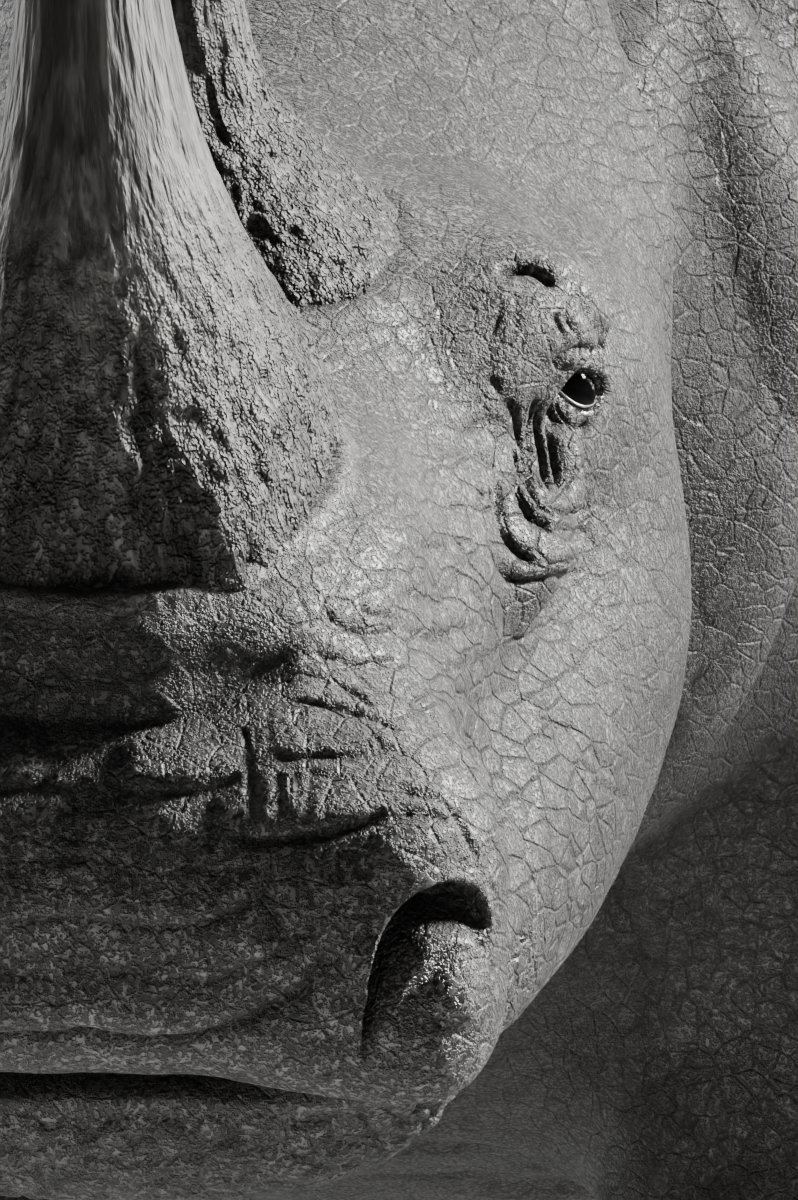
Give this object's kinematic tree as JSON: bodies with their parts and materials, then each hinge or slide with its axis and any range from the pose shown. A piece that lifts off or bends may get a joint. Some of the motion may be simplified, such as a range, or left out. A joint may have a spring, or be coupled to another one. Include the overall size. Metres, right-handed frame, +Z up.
{
  "type": "white rhinoceros",
  "caption": "Life-size still model of an adult white rhinoceros, standing at rest with its head lowered and its horns raised.",
  "frame": {"origin": "on the floor, under the middle of the animal's bounding box", "axes": "+Z up, -Y the way that the animal faces, +X towards its left side"},
  "size_m": [1.178, 3.629, 1.7172],
  "materials": {
    "skin": "matt, wrinkled grey hide",
    "horn": "fibrous horn, rough at the base and worn smooth above",
    "nail": "worn horn, satin",
    "eye": "wet gloss"
  },
  "bodies": {
    "root": {"head": "skin", "neck": "skin", "torso": "skin", "tail": "skin", "horn_front": "horn", "horn_rear": "horn", "ear_left": "skin", "eye_left": "eye", "ear_right": "skin", "eye_right": "eye", "front_left_leg": "skin", "front_left_foot": "skin", "front_left_nail_1": "nail", "front_left_nail_2": "nail", "front_left_nail_3": "nail", "front_right_leg": "skin", "front_right_foot": "skin", "front_right_nail_1": "nail", "front_right_nail_2": "nail", "front_right_nail_3": "nail", "hind_left_leg": "skin", "hind_left_foot": "skin", "hind_left_nail_1": "nail", "hind_left_nail_2": "nail", "hind_left_nail_3": "nail", "hind_right_leg": "skin", "hind_right_foot": "skin", "hind_right_nail_1": "nail", "hind_right_nail_2": "nail", "hind_right_nail_3": "nail"}
  },
  "joints": []
}
